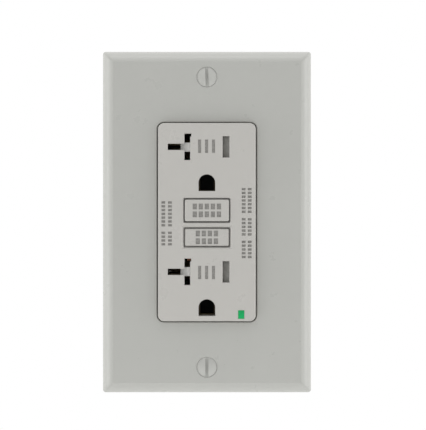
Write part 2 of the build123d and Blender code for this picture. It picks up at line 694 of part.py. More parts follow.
def build_solenoid():
    y = solenoid_y
    z = solenoid_z
    yoke = box(-5.2, 5.2, board_y - 1.0, board_y, z, z + 14)
    for start in (z, z + 13):
        yoke += box(-5.2, 5.2, 11.9, board_y - 0.5, start, start + 1)
    yoke -= rod_z(2.4, 0, y, z - 1, z + 15)
    save(yoke, "solenoid_yoke")
    bobbin = rod_z(2.8, 0, y, z + 1, z + 13)
    for start in (z + 1, z + 12):
        bobbin += rod_z(4.4, 0, y, start, start + 1)
    bobbin -= rod_z(2.0 + shaft_gap, 0, y, z, z + 14)
    save(bobbin, "solenoid_bobbin")
    winding = rod_z(4.2, 0, y, z + 2, z + 12) - rod_z(2.8, 0, y, z, z + 14)
    save(winding, "solenoid_winding")
    plunger = rod_z(2.0, 0, y, z - 1.6, z + 11) + rod_z(1.0, 0, y, latch_top_z + 0.1, z - 1.5)
    save(plunger, "solenoid_plunger")


def build_latch_parts():
    hub = box(-3.4, 3.4, 12.85, 14.85, -9.2, 7.0)
    lifter = hub + box(-8.0, 8.0, 12.85, 14.85, 1.0, 7.0)
    lifter += box(-1.6, 1.6, 14.8, 16.6, -9.2, -8.3)
    lifter -= rod_y(1.2 + shaft_gap, 0, reset_z, 12, 16)
    save(lifter, "lifter")
    latch = box(-2.9, 2.9, 14.95, 15.55, -4.2, latch_top_z)
    latch += box(-2.9, 2.9, 14.95, 17.2, latch_top_z - 0.6, latch_top_z)
    latch -= box(-1.15, 1.15, 14, 17, reset_z - 1.0, reset_z + 1.6)
    latch -= rod_y(1.6, 0, reset_z + 1.8, 14, 16)
    save(latch, "latch")
    spring = coil_spring(0.6, 0.12, 6, 3.8)
    save(Pos(0, 15.55, -8.1) * spring, "latch_spring")


def build_light():
    lens = box(led_x - 1.0, led_x + 1.0, face_y - 0.1, cover_inner_y, led_z - 1.4, led_z + 1.4)
    front = lens.faces().filter_by(Plane.XZ).sort_by(Axis.Y)[0]
    lens = fillet(front.edges(), 0.2)
    lens += box(led_x - 1.35, led_x + 1.35, cover_inner_y - 0.15, cover_inner_y + 0.8, led_z - 1.5, led_z + 1.5)
    lens += box(led_x - 0.8, led_x + 0.8, cover_inner_y, 18.8, led_z - 0.6, led_z + 0.9)
    save(lens, "led_lens")
    save(rod_y(1.4, led_x, led_z + 1.5, 18.9, board_y), "led")


def build_board():
    board = slab(board_w, board_h, 0.5, board_y, board_y + board_thick)
    save(board, "circuit_board")
    save(box(9.0, 12.8, 14.5, board_y, -6.0, 4.0), "film_capacitor")
    disc = rod_x(4.2, 17.2, 0, -12.6, -9.6)
    disc += rod_y(0.35, -11.1, -2.0, 20.0, board_y) + rod_y(0.35, -11.1, 2.0, 20.0, board_y)
    save(disc, "varistor")
    save(box(-12.0, -7.2, board_y - 1.6, board_y, 7.6, 12.4), "control_chip")
    diodes = [rod_z(1.0, x, board_y - 1.0, board_h / 2 - 2.9, board_h / 2 - 0.5) for x in (-10.5, -7.5, 7.5, 10.5)]
    save(Compound(diodes), "diodes")
    resistors = [rod_z(0.9, x, board_y - 0.9, 15, 20) for x in (-11.5, -8.8, 8.8)]
    save(Compound(resistors), "resistors")
    save(rod_y(2.4, 10.4, 9.0, 17.6, board_y) - box(12.0, 14, 17, 24, 6, 12), "thyristor")


os.makedirs("parts", exist_ok=True)
build_wall_plate()
build_plate_screws()
build_face_cover()
build_reset_parts()
build_test_parts()
build_shutter("upper", upper_row_z)
build_shutter("lower", lower_row_z)
build_mounting_strap()
build_box_screws()
build_rear_body()
build_housing_screws()
build_contact_frame()
build_face_contacts()
build_line_terminals()
build_ground_contacts()
build_terminal_hardware()
build_ground_screw()
build_contact_arms()
build_coils()
build_solenoid()
build_latch_parts()
build_light()
build_board()
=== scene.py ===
"""Ground-fault receptacle with its wall plate: finishes, small visual pieces and a studio set."""

import json
import math

import bmesh
import bpy
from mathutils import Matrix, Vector


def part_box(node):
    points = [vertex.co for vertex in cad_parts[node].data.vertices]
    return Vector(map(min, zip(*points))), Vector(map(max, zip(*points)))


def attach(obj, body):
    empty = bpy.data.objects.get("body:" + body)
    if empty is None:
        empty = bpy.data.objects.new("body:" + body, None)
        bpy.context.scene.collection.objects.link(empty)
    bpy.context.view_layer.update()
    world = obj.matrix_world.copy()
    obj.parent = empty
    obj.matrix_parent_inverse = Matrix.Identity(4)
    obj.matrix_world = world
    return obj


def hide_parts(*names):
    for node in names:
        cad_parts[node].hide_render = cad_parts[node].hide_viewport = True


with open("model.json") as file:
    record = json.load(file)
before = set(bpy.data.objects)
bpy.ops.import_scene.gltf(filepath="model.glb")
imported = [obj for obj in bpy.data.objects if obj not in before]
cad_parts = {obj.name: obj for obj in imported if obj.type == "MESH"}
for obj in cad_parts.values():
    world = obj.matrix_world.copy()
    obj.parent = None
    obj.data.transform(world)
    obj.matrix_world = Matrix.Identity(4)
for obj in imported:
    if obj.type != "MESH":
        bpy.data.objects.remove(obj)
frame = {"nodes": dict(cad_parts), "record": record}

bl_info = {
    "name": "Ground-fault receptacle",
    "version": (1, 0, 0),
    "blender": (4, 5, 0),
    "location": "3D View > Sidebar > Receptacle",
    "description": "Finishes and stages a duplex ground-fault receptacle",
    "category": "Object",
}

MM = 0.001
MARK_DEPTH = 0.35 * MM
PLATE_SCREW_R = 1.7 * MM
THREAD_PITCH = 25.4 * MM / 32
THREAD_DEPTH_RATIO = 0.6134
SHUTTER_PAD_EDGE = 4.7 * MM
FLOOR_HALF = 0.5
CREASE = 35.0


# Node building blocks


def new_group(name, inputs, outputs):
    """A shader node group with the given (name, type, default) inputs and (name, type) outputs."""
    group = bpy.data.node_groups.new(name, "ShaderNodeTree")
    for label, kind, default in inputs:
        socket = group.interface.new_socket(label, in_out="INPUT", socket_type=kind)
        socket.default_value = default
    for label, kind in outputs:
        group.interface.new_socket(label, in_out="OUTPUT", socket_type=kind)
    start = group.nodes.new("NodeGroupInput")
    end = group.nodes.new("NodeGroupOutput")
    start.location = (-900, 0)
    end.location = (700, 0)
    return group, start, end


def math_node(tree, operation, first, second):
    """A maths node whose operands are sockets or numbers. Returns its output."""
    node = tree.nodes.new("ShaderNodeMath")
    node.operation = operation
    for index, value in enumerate((first, second)):
        if isinstance(value, bpy.types.NodeSocket):
            tree.links.new(value, node.inputs[index])
        else:
            node.inputs[index].default_value = value
    return node.outputs[0]


def place_nodes(tree):
    """Spreads the nodes of a tree out so that it can be read."""
    for index, node in enumerate(tree.nodes):
        node.location = (220 * (index % 8) - 900, -260 * (index // 8))


def noise(tree, vector, scale, detail=2.0, roughness=0.5):
    """A noise texture. Returns its value output."""
    node = tree.nodes.new("ShaderNodeTexNoise")
    node.inputs["Detail"].default_value = detail
    node.inputs["Roughness"].default_value = roughness
    tree.links.new(vector, node.inputs["Vector"])
    if isinstance(scale, bpy.types.NodeSocket):
        tree.links.new(scale, node.inputs["Scale"])
    else:
        node.inputs["Scale"].default_value = scale
    return node.outputs["Fac"]


def map_range(tree, value, low, high, to_low, to_high):
    """Maps a value between two ranges. Any limit may be a socket."""
    node = tree.nodes.new("ShaderNodeMapRange")
    tree.links.new(value, node.inputs["Value"])
    for label, limit in (("From Min", low), ("From Max", high), ("To Min", to_low), ("To Max", to_high)):
        if isinstance(limit, bpy.types.NodeSocket):
            tree.links.new(limit, node.inputs[label])
        else:
            node.inputs[label].default_value = limit
    return node.outputs["Result"]


def mix_colour(tree, factor, first, second, blend="MIX"):
    """Mixes two colours, each a socket or a value. Returns the colour output."""
    node = tree.nodes.new("ShaderNodeMix")
    node.data_type = "RGBA"
    node.blend_type = blend
    slots = (node.inputs["Factor"], node.inputs[6], node.inputs[7])
    for socket, value in zip(slots, (factor, first, second)):
        if isinstance(value, bpy.types.NodeSocket):
            tree.links.new(value, socket)
        else:
            socket.default_value = value
    return node.outputs[2]


def bump(tree, height, distance, strength=1.0):
    """A bump node. Returns its normal output."""
    node = tree.nodes.new("ShaderNodeBump")
    node.inputs["Strength"].default_value = strength
    tree.links.new(height, node.inputs["Height"])
    if isinstance(distance, bpy.types.NodeSocket):
        tree.links.new(distance, node.inputs["Distance"])
    else:
        node.inputs["Distance"].default_value = distance
    return node.outputs["Normal"]


def grain_group():
    """Moulded plastic: faint flow mottling, a fine spark-eroded grain and a little settled dust."""
    if "Moulded grain" in bpy.data.node_groups:
        return bpy.data.node_groups["Moulded grain"]
    group, start, end = new_group(
        "Moulded grain",
        [
            ("Colour", "NodeSocketColor", (0.5, 0.5, 0.5, 1.0)),
            ("Spread", "NodeSocketFloat", 0.05),
            ("Roughness", "NodeSocketFloat", 0.4),
            ("Grain size", "NodeSocketFloat", 3500.0),
            ("Grain depth", "NodeSocketFloat", 0.000004),
        ],
        [("Colour", "NodeSocketColor"), ("Roughness", "NodeSocketFloat"), ("Normal", "NodeSocketVector")],
    )
    tree = group
    where = tree.nodes.new("ShaderNodeTexCoord").outputs["Object"]
    flow = noise(tree, where, 55.0, 3.0)
    cloud = noise(tree, where, 420.0, 2.0)
    broad = math_node(tree, "MULTIPLY", flow, 0.7)
    small = math_node(tree, "MULTIPLY", cloud, 0.3)
    mottle = math_node(tree, "ADD", broad, small)
    low = math_node(tree, "SUBTRACT", 1.0, start.outputs["Spread"])
    high = math_node(tree, "ADD", 1.0, start.outputs["Spread"])
    tone = map_range(tree, mottle, 0.3, 0.7, low, high)
    shade = tree.nodes.new("ShaderNodeVectorMath")
    shade.operation = "SCALE"
    tree.links.new(start.outputs["Colour"], shade.inputs[0])
    tree.links.new(tone, shade.inputs["Scale"])
    facing = tree.nodes.new("ShaderNodeSeparateXYZ")
    tree.links.new(tree.nodes.new("ShaderNodeNewGeometry").outputs["Normal"], facing.inputs[0])
    upward = map_range(tree, facing.outputs["Z"], 0.75, 1.0, 0.0, 0.22)
    dust = math_node(tree, "MULTIPLY", upward, noise(tree, where, 900.0, 4.0, 0.7))
    dusty = mix_colour(tree, dust, shade.outputs[0], (0.62, 0.60, 0.56, 1.0))
    tree.links.new(dusty, end.inputs["Colour"])
    polish = noise(tree, where, 160.0, 4.0, 0.6)
    down = math_node(tree, "MULTIPLY", start.outputs["Roughness"], 0.85)
    up = math_node(tree, "MULTIPLY", start.outputs["Roughness"], 1.15)
    rough = map_range(tree, polish, 0.3, 0.7, down, up)
    tree.links.new(math_node(tree, "ADD", rough, dust), end.inputs["Roughness"])
    fine = noise(tree, where, start.outputs["Grain size"], 2.0, 0.6)
    tree.links.new(bump(tree, fine, start.outputs["Grain depth"]), end.inputs["Normal"])
    place_nodes(tree)
    return group


def recess_shade_group():
    """Painted shade on the floors of small sunk marks: their colour is darkened where shade would fall. Level
    is the height of the floors along Y.
    """
    if "Sunk mark painted shade" in bpy.data.node_groups:
        return bpy.data.node_groups["Sunk mark painted shade"]
    group, start, end = new_group(
        "Sunk mark painted shade",
        [("Colour", "NodeSocketColor", (0.5, 0.5, 0.5, 1.0)), ("Level", "NodeSocketFloat", 0.0)],
        [("Colour", "NodeSocketColor")],
    )
    place = group.nodes.new("ShaderNodeSeparateXYZ")
    where = group.nodes.new("ShaderNodeTexCoord").outputs["Object"]
    group.links.new(where, place.inputs[0])
    facing = group.nodes.new("ShaderNodeSeparateXYZ")
    group.links.new(group.nodes.new("ShaderNodeNewGeometry").outputs["Normal"], facing.inputs[0])
    off = math_node(group, "SUBTRACT", place.outputs["Y"], start.outputs["Level"])
    near = math_node(group, "LESS_THAN", math_node(group, "ABSOLUTE", off, 0.0), 0.08 * MM)
    flat = math_node(group, "LESS_THAN", facing.outputs["Y"], -0.9)
    shade_breakup = map_range(group, noise(group, where, 1800.0, 3.0, 0.6), 0.3, 0.7, 0.45, 0.8)
    mask = math_node(group, "MULTIPLY", math_node(group, "MULTIPLY", near, flat), shade_breakup)
    # Painted shade: the floors of the sunk marks are darkened in colour, broken up by noise.
    dark = mix_colour(group, mask, start.outputs["Colour"], (0.16, 0.155, 0.145, 1.0))
    group.links.new(dark, end.inputs["Colour"])
    place_nodes(group)
    return group


def paint_recess_shade(material, level):
    """Paints shade on the floors of the small sunk marks in a material made by plastic(), by darkening their
    colour.
    """
    tree = material.node_tree
    node = tree.nodes.new("ShaderNodeGroup")
    node.node_tree = recess_shade_group()
    node.inputs["Level"].default_value = level
    node.location = (-120, 380)
    shader = tree.nodes["Principled BSDF"]
    tree.links.new(shader.inputs["Base Color"].links[0].from_socket, node.inputs["Colour"])
    tree.links.new(node.outputs["Colour"], shader.inputs["Base Color"])


def metal_group():
    """Rolled or turned metal: directional streaks, stains and small scratches."""
    if "Worked metal" in bpy.data.node_groups:
        return bpy.data.node_groups["Worked metal"]
    group, start, end = new_group(
        "Worked metal",
        [
            ("Colour", "NodeSocketColor", (0.7, 0.7, 0.7, 1.0)),
            ("Stain", "NodeSocketColor", (0.3, 0.28, 0.25, 1.0)),
            ("Stain amount", "NodeSocketFloat", 0.25),
            ("Roughness", "NodeSocketFloat", 0.3),
            ("Along", "NodeSocketVector", (1.0, 1.0, 1.0)),
            ("Depth", "NodeSocketFloat", 0.000006),
        ],
        [("Colour", "NodeSocketColor"), ("Roughness", "NodeSocketFloat"), ("Normal", "NodeSocketVector")],
    )
    tree = group
    where = tree.nodes.new("ShaderNodeTexCoord").outputs["Object"]
    stretch = tree.nodes.new("ShaderNodeVectorMath")
    stretch.operation = "MULTIPLY"
    tree.links.new(where, stretch.inputs[0])
    tree.links.new(start.outputs["Along"], stretch.inputs[1])
    streak = noise(tree, stretch.outputs[0], 2600.0, 3.0, 0.65)
    patch = noise(tree, where, 240.0, 5.0, 0.65)
    fleck = noise(tree, where, 1500.0, 3.0, 0.6)
    mask = map_range(tree, patch, 0.52, 0.75, 0.0, 1.0)
    stain = math_node(tree, "MULTIPLY", mask, start.outputs["Stain amount"])
    base = mix_colour(tree, stain, start.outputs["Colour"], start.outputs["Stain"])
    fade = map_range(tree, streak, 0.3, 0.7, 0.9, 1.08)
    shade = tree.nodes.new("ShaderNodeVectorMath")
    shade.operation = "SCALE"
    tree.links.new(base, shade.inputs[0])
    tree.links.new(fade, shade.inputs["Scale"])
    tree.links.new(shade.outputs[0], end.inputs["Colour"])
    down = math_node(tree, "MULTIPLY", start.outputs["Roughness"], 0.75)
    up = math_node(tree, "MULTIPLY", start.outputs["Roughness"], 1.3)
    rough = map_range(tree, math_node(tree, "ADD", streak, fleck), 0.7, 1.3, down, up)
    dulled = math_node(tree, "MULTIPLY", stain, 0.3)
    tree.links.new(math_node(tree, "ADD", rough, dulled), end.inputs["Roughness"])
    tree.links.new(bump(tree, streak, start.outputs["Depth"]), end.inputs["Normal"])
    place_nodes(tree)
    return group


def new_material(name, **values):
    """A material with one Principled shader whose constant inputs are set here."""
    material = bpy.data.materials.new(name)
    material.use_nodes = True
    shader = material.node_tree.nodes["Principled BSDF"]
    for label, value in values.items():
        shader.inputs[label.replace("_", " ").title()].default_value = value
    return material, material.node_tree, shader


def use_group(tree, shader, group, **values):
    """Adds a node group and links its outputs to the shader."""
    node = tree.nodes.new("ShaderNodeGroup")
    node.node_tree = group
    node.location = (-320, 200)
    for label, value in values.items():
        node.inputs[label.replace("_", " ").capitalize()].default_value = value
    tree.links.new(node.outputs["Colour"], shader.inputs["Base Color"])
    tree.links.new(node.outputs["Roughness"], shader.inputs["Roughness"])
    tree.links.new(node.outputs["Normal"], shader.inputs["Normal"])
    return node


def plastic(name, colour, roughness=0.38, spread=0.03, size=3500.0, depth=0.000004, coat=0.0):
    """A moulded plastic."""
    material, tree, shader = new_material(name, coat_weight=coat, coat_roughness=0.25)
    shader.inputs["IOR"].default_value = 1.5
    values = {"colour": (*colour, 1.0), "spread": spread, "roughness": roughness}
    use_group(tree, shader, grain_group(), grain_size=size, grain_depth=depth, **values)
    return material


def metal(name, colour, stain, roughness=0.3, amount=0.3, along=(1.0, 1.0, 1.0), depth=0.000006):
    """A worked metal."""
    material, tree, shader = new_material(name, metallic=1.0)
    values = {"colour": (*colour, 1.0), "stain": (*stain, 1.0), "stain_amount": amount}
    use_group(tree, shader, metal_group(), roughness=roughness, along=along, depth=depth, **values)
    return material


def finish(nodes, material):
    """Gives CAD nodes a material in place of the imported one."""
    for name in nodes:
        piece = frame["nodes"][name]
        piece.data.materials.clear()
        piece.data.materials.append(material)


def soften(nodes, angle=CREASE):
    """Smooth shading with crisp edges on CAD nodes."""
    for name in nodes:
        mesh = frame["nodes"][name].data
        mesh.shade_smooth()
        mesh.set_sharp_from_angle(angle=math.radians(angle))


# Mesh building blocks


def threaded_shank(build, spot, start, end, radius, pitch, depth, around=24, per_turn=6):
    """A threaded shank along Y, centred on spot (x, z), with a lead-in at its end."""
    step = pitch / per_turn
    count = math.ceil((end - start) / step) + 1
    rings = []
    for index in range(count):
        along = min(start + index * step, end)
        ring = []
        for turn in range(around):
            phase = (along / pitch - turn / around) % 1.0
            crest = min(1.0, max(0.0, 1.35 * abs(2.0 * phase - 1.0) - 0.15))
            size = radius - depth * (1.0 - crest)
            size = min(size, radius - depth + 0.9 * (end - along))
            angle = 2.0 * math.pi * turn / around
            place = (spot[0] + size * math.cos(angle), along, spot[1] + size * math.sin(angle))
            ring.append(build.verts.new(place))
        rings.append(ring)
    for ring, after in zip(rings, rings[1:]):
        for turn in range(around):
            beside = (turn + 1) % around
            build.faces.new((ring[turn], ring[beside], after[beside], after[turn]))
    build.faces.new(rings[0])
    build.faces.new(rings[-1])


def shank_tips(node):
    """Centres (x, z) of the tips of an upper and a lower screw along Y, in one node."""
    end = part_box(node)[1][1]
    rim = [v.co for v in frame["nodes"][node].data.vertices if v.co.y > end - 0.01 * MM]
    centres = []
    for side in (1, -1):
        across = [point.x for point in rim if point.z * side > 0]
        upward = [point.z for point in rim if point.z * side > 0]
        centres.append(((min(across) + max(across)) / 2, (min(upward) + max(upward)) / 2))
    return centres


def shank_start(node, spot, radius):
    """Where along Y the plain cylinder of a screw's shank begins."""
    points = []
    for vertex in frame["nodes"][node].data.vertices:
        reach = math.hypot(vertex.co.x - spot[0], vertex.co.z - spot[1])
        if abs(reach - radius) < 0.01 * MM:
            points.append(vertex.co.y)
    return min(points)


def threaded_screws(node, body, spots, start, radius, pitch):
    """Replaces a node of plain-shanked screws along Y with the same screws, threaded from start."""
    source = frame["nodes"][node]
    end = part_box(node)[1][1]
    depth = THREAD_DEPTH_RATIO * pitch
    build = bmesh.new()
    build.from_mesh(source.data)
    for spot in spots:
        shank = []
        for face in build.faces:
            reach = max(math.hypot(v.co.x - spot[0], v.co.z - spot[1]) for v in face.verts)
            if reach < radius * 1.01 and min(v.co.y for v in face.verts) > start - 0.05 * MM:
                shank.append(face)
        bmesh.ops.delete(build, geom=shank, context="FACES")
    for spot in spots:
        threaded_shank(build, spot, start, end, radius, pitch, depth)
    bmesh.ops.recalc_face_normals(build, faces=build.faces)
    mesh = bpy.data.meshes.new(node + "_threaded")
    build.to_mesh(mesh)
    build.free()
    for material in source.data.materials:
        mesh.materials.append(material)
    mesh.shade_smooth()
    mesh.set_sharp_from_angle(angle=math.radians(CREASE))
    piece = bpy.data.objects.new(node + "_threaded", mesh)
    bpy.context.scene.collection.objects.link(piece)
    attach(piece, body)
    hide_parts(node)
    return piece


# Settings


class ReceptacleColours(bpy.types.PropertyGroup):
    """Colours and finishes of the shown surfaces."""

    plate: bpy.props.FloatVectorProperty(
        name="Plate", description="Colour of the wall plate", default=(0.458, 0.461, 0.435), subtype="COLOR"
    )
    face: bpy.props.FloatVectorProperty(
        name="Face",
        description="Colour of the device's face and buttons",
        default=(0.50, 0.489, 0.462),
        subtype="COLOR",
    )
    guard: bpy.props.FloatVectorProperty(
        name="Shutters",
        description="Colour of the sliding guards",
        default=(0.88, 0.87, 0.84),
        subtype="COLOR",
    )
    lamp: bpy.props.FloatVectorProperty(
        name="Lamp", description="Colour of the light pipe", default=(0.003, 0.30, 0.085), subtype="COLOR"
    )
    lamp_glow: bpy.props.FloatProperty(
        name="Lamp glow", description="Light given off by the lamp", default=0.3, min=0.0
    )
    gloss: bpy.props.FloatProperty(
        name="Roughness",
        description="Surface roughness of the grey mouldings",
        default=0.31,
        min=0.05,
        max=1.0,
    )


class ReceptacleStage(bpy.types.PropertyGroup):
    """The studio set."""

    distance: bpy.props.FloatProperty(
        name="Distance", description="From the camera to the plate", default=0.5435, unit="LENGTH"
    )
    shift_x: bpy.props.FloatProperty(
        name="Across",
        description="Camera position to the right of the plate's centre",
        default=0.00203,
        unit="LENGTH",
    )
    shift_z: bpy.props.FloatProperty(
        name="Up", description="Camera position above the plate's centre", default=0.00237, unit="LENGTH"
    )
    lens: bpy.props.FloatProperty(name="Lens", description="Focal length in millimetres", default=135.0)
    key: bpy.props.FloatProperty(name="Key light", description="Power of the main soft light", default=0.3)
    fill: bpy.props.FloatProperty(name="Fill light", description="Power of each side light", default=1.75)
    sky_front: bpy.props.FloatProperty(
        name="Front surround", description="Brightness of the surround in front of the object", default=0.78
    )
    sky_rear: bpy.props.FloatProperty(
        name="Rear surround", description="Brightness of the surround behind the object", default=1.35
    )
    floor_z: bpy.props.FloatProperty(
        name="Floor height", description="Height of the studio floor", default=-0.16, unit="LENGTH"
    )


# Pieces


class RECEPTACLE_OT_plate(bpy.types.Operator):
    """Finish the wall plate and its painted screws"""

    bl_idname = "receptacle.plate"
    bl_label = "Wall plate"

    def execute(self, context):
        look = context.scene.receptacle_colours
        shell = plastic("Plate thermoplastic", look.plate, look.gloss, 0.012, 3000.0, 0.0000035)
        finish(["wall_plate"], shell)
        paint = plastic("Screw enamel", look.plate, 0.22, 0.03, 1800.0, 0.000006, coat=0.6)
        finish(["plate_screws"], paint)
        soften(["wall_plate", "plate_screws"])
        return {"FINISHED"}


class RECEPTACLE_OT_face(bpy.types.Operator):
    """Finish the device's face and its two buttons"""

    bl_idname = "receptacle.face"
    bl_label = "Face and buttons"

    def execute(self, context):
        look = context.scene.receptacle_colours
        cover = plastic("Face thermoplastic", look.face, look.gloss, 0.012, 3200.0, 0.000003)
        # Painted shade on the floors of the sunk marks on the face.
        paint_recess_shade(cover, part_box("face_cover")[0][1] + MARK_DEPTH)
        finish(["face_cover"], cover)
        cap = tuple(c * 0.985 for c in look.face)
        for name, label in (("reset_button", "Reset button"), ("test_button", "Test button")):
            button = plastic(label + " thermoplastic", cap, 0.3, 0.012, 3600.0, 0.000003)
            # Painted shade on the floors of the sunk marks on the button.
            paint_recess_shade(button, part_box(name)[0][1] + MARK_DEPTH)
            finish([name], button)
        soften(["face_cover", "reset_button", "test_button"])
        return {"FINISHED"}


def paint_pad_shade(material, edge):
    """Painted shade on the ramped pad of a shutter, which lies beyond edge along X: a darker grey colour
    stands in for the shadow that falls on the pad.
    """
    tree = material.node_tree
    shader = tree.nodes["Principled BSDF"]
    place = tree.nodes.new("ShaderNodeSeparateXYZ")
    where = tree.nodes.new("ShaderNodeTexCoord").outputs["Object"]
    tree.links.new(where, place.inputs[0])
    pad = map_range(tree, place.outputs["X"], edge - 0.4 * MM, edge + 0.4 * MM, 0.0, 1.0)
    pad_shade_breakup = map_range(tree, noise(tree, where, 700.0, 4.0, 0.6), 0.3, 0.7, 0.72, 0.95)
    unshaded = shader.inputs["Base Color"].links[0].from_socket
    # Painted shade: a darker grey mixed in beyond the pad edge, broken up by noise.
    pad_shaded = mix_colour(tree, math_node(tree, "MULTIPLY", pad, pad_shade_breakup), unshaded, (0.34, 0.335, 0.31, 1.0))
    tree.links.new(pad_shaded, shader.inputs["Base Color"])
    place_nodes(tree)


class RECEPTACLE_OT_guards(bpy.types.Operator):
    """Finish the sliding guards behind the blade openings"""

    bl_idname = "receptacle.guards"
    bl_label = "Shutters"

    def execute(self, context):
        look = context.scene.receptacle_colours
        names = ["shutter_upper", "shutter_lower"]
        acetal = plastic("Shutter acetal", look.guard, 0.3, 0.02, 2500.0, 0.000002)
        # Painted shade on the pad beyond SHUTTER_PAD_EDGE, where the slot's shadow falls.
        paint_pad_shade(acetal, SHUTTER_PAD_EDGE)
        finish(names, acetal)
        soften(names)
        return {"FINISHED"}


class RECEPTACLE_OT_lamp(bpy.types.Operator):
    """Finish the indicator lamp and its light pipe"""

    bl_idname = "receptacle.lamp"
    bl_label = "Lamp"

    def execute(self, context):
        look = context.scene.receptacle_colours
        material, tree, shader = new_material("Green light pipe", coat_weight=0.2, coat_roughness=0.1)
        values = {"colour": (*look.lamp, 1.0), "spread": 0.35, "roughness": 0.15, "grain_size": 1400.0}
        use_group(tree, shader, grain_group(), **values)
        group = tree.nodes["Group"]
        tree.links.new(group.outputs["Colour"], shader.inputs["Emission Color"])
        shader.inputs["Emission Strength"].default_value = look.lamp_glow
        shader.inputs["Specular IOR Level"].default_value = 0.2
        finish(["led_lens", "led"], material)
        soften(["led_lens", "led"])
        return {"FINISHED"}


class RECEPTACLE_OT_mouldings(bpy.types.Operator):
    """Finish the rear body, the inner mouldings and the fibre washers"""

    bl_idname = "receptacle.mouldings"
    bl_label = "Inner and rear mouldings"

    def execute(self, context):
        finish(["rear_body"], plastic("Rear nylon", (0.035, 0.036, 0.04), 0.5, 0.12, 2200.0, 0.00001))
        # The near-black colour of these inner mouldings is painted shade: it stands in for the shade seen
        # inside the blade and ground openings.
        dark = ["contact_frame", "lifter", "coil_housing"]
        finish(dark, plastic("Inner plastic painted shade", (0.012, 0.012, 0.012), 0.6, 0.1, 2600.0, 0.000006))
        finish(["solenoid_bobbin"], plastic("Bobbin nylon", (0.62, 0.6, 0.55), 0.45, 0.05))
        finish(["screw_washers"], plastic("Red fibre", (0.30, 0.075, 0.045), 0.8, 0.25, 900.0, 0.00003))
        soften(["rear_body", "screw_washers", "solenoid_bobbin", *dark])
        return {"FINISHED"}


class RECEPTACLE_OT_metalwork(bpy.types.Operator):
    """Finish the strap, screws, terminals and contacts"""

    bl_idname = "receptacle.metalwork"
    bl_label = "Strap, screws and contacts"

    def execute(self, context):
        zinc = metal("Zinc-plated steel", (0.70, 0.71, 0.70), (0.42, 0.40, 0.33), 0.32, 0.5, (1.0, 1.0, 0.04))
        steel = ["mounting_strap", "latch", "solenoid_yoke", "ground_rivets", "solenoid_plunger"]
        finish(steel, zinc)
        turned = metal("Turned steel", (0.66, 0.66, 0.64), (0.35, 0.33, 0.28), 0.26, 0.4, (1.0, 0.05, 1.0))
        finish(["box_screws", "housing_screws", "reset_pin"], turned)
        wire = metal("Spring wire", (0.38, 0.38, 0.39), (0.2, 0.18, 0.15), 0.3, 0.3)
        springs = [n for n in frame["nodes"] if "spring" in n]
        finish(springs, wire)
        drawn = (1.0, 1.0, 0.05)
        brass = metal("Brass strip", (0.83, 0.58, 0.24), (0.36, 0.20, 0.08), 0.28, 0.45, drawn)
        hot = [n for n in frame["nodes"] if n.startswith(("line_hot", "load_hot"))]
        finish(hot, brass)
        nickel = metal("Nickel-plated brass", (0.74, 0.72, 0.66), (0.45, 0.40, 0.30), 0.24, 0.35, drawn)
        cold = [n for n in frame["nodes"] if n.startswith(("line_neutral", "load_neutral"))]
        finish(cold, nickel)
        # Painted shade: the contacts' very dark colour stands in for the shade inside the openings.
        strip = metal("Contact strip painted shade", (0.13, 0.10, 0.06), (0.05, 0.035, 0.02), 0.5, 0.5)
        finish(["hot_contacts", "neutral_contacts", "ground_contacts"], strip)
        copper = metal("Copper strip", (0.78, 0.38, 0.22), (0.30, 0.13, 0.08), 0.3, 0.5, drawn)
        finish(["contact_arm_hot", "contact_arm_neutral", "line_conductors", "solenoid_winding"], copper)
        silver = metal("Contact silver", (0.86, 0.85, 0.82), (0.5, 0.48, 0.4), 0.2, 0.25)
        finish(["fixed_contact_tips", "contact_tip_hot", "contact_tip_neutral", "test_contact"], silver)
        dyed = metal("Green dyed steel", (0.03, 0.33, 0.10), (0.35, 0.38, 0.30), 0.3, 0.35)
        finish(["ground_screw", "ground_washer"], dyed)
        soften([n for n in frame["nodes"] if n not in PLASTIC_NODES])
        return {"FINISHED"}


PLASTIC_NODES = {
    "wall_plate",
    "plate_screws",
    "face_cover",
    "reset_button",
    "test_button",
    "shutter_upper",
    "shutter_lower",
    "led_lens",
    "led",
    "rear_body",
    "contact_frame",
    "lifter",
    "coil_housing",
    "solenoid_bobbin",
    "screw_washers",
}


class RECEPTACLE_OT_threads(bpy.types.Operator):
    """Cut the threads of the box screws and the plate screws"""

    bl_idname = "receptacle.threads"
    bl_label = "Screw threads"

    def execute(self, context):
        mounts = {mount["name"]: mount for mount in frame["record"]["mounts"]}
        dims = mounts["box_screws"]["dims"]
        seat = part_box("screw_washers")[0][1]
        spots = shank_tips("box_screws")
        threaded_screws("box_screws", "device", spots, seat, dims["stud_r_mm"] * MM, THREAD_PITCH)
        spots = shank_tips("plate_screws")
        neck = shank_start("plate_screws", spots[0], PLATE_SCREW_R)
        threaded_screws("plate_screws", "device", spots, neck, PLATE_SCREW_R, THREAD_PITCH)
        return {"FINISHED"}


class RECEPTACLE_OT_electronics(bpy.types.Operator):
    """Finish the circuit board and its components"""

    bl_idname = "receptacle.electronics"
    bl_label = "Electronics"

    def execute(self, context):
        mask = plastic("Solder mask", (0.01, 0.12, 0.04), 0.25, 0.3, 900.0, 0.00001, coat=0.5)
        finish(["circuit_board"], mask)
        finish(["sense_coil", "neutral_coil"], plastic("Coil tape", (0.5, 0.42, 0.05), 0.4, 0.2))
        black = plastic("Component epoxy", (0.02, 0.02, 0.022), 0.45, 0.2)
        finish(["control_chip", "diodes", "thyristor"], black)
        finish(["varistor"], plastic("Varistor coating", (0.02, 0.06, 0.30), 0.35, 0.15))
        finish(["film_capacitor"], plastic("Capacitor case", (0.60, 0.40, 0.03), 0.35, 0.1))
        finish(["resistors"], plastic("Resistor coating", (0.50, 0.38, 0.24), 0.4, 0.15))
        return {"FINISHED"}


# Studio


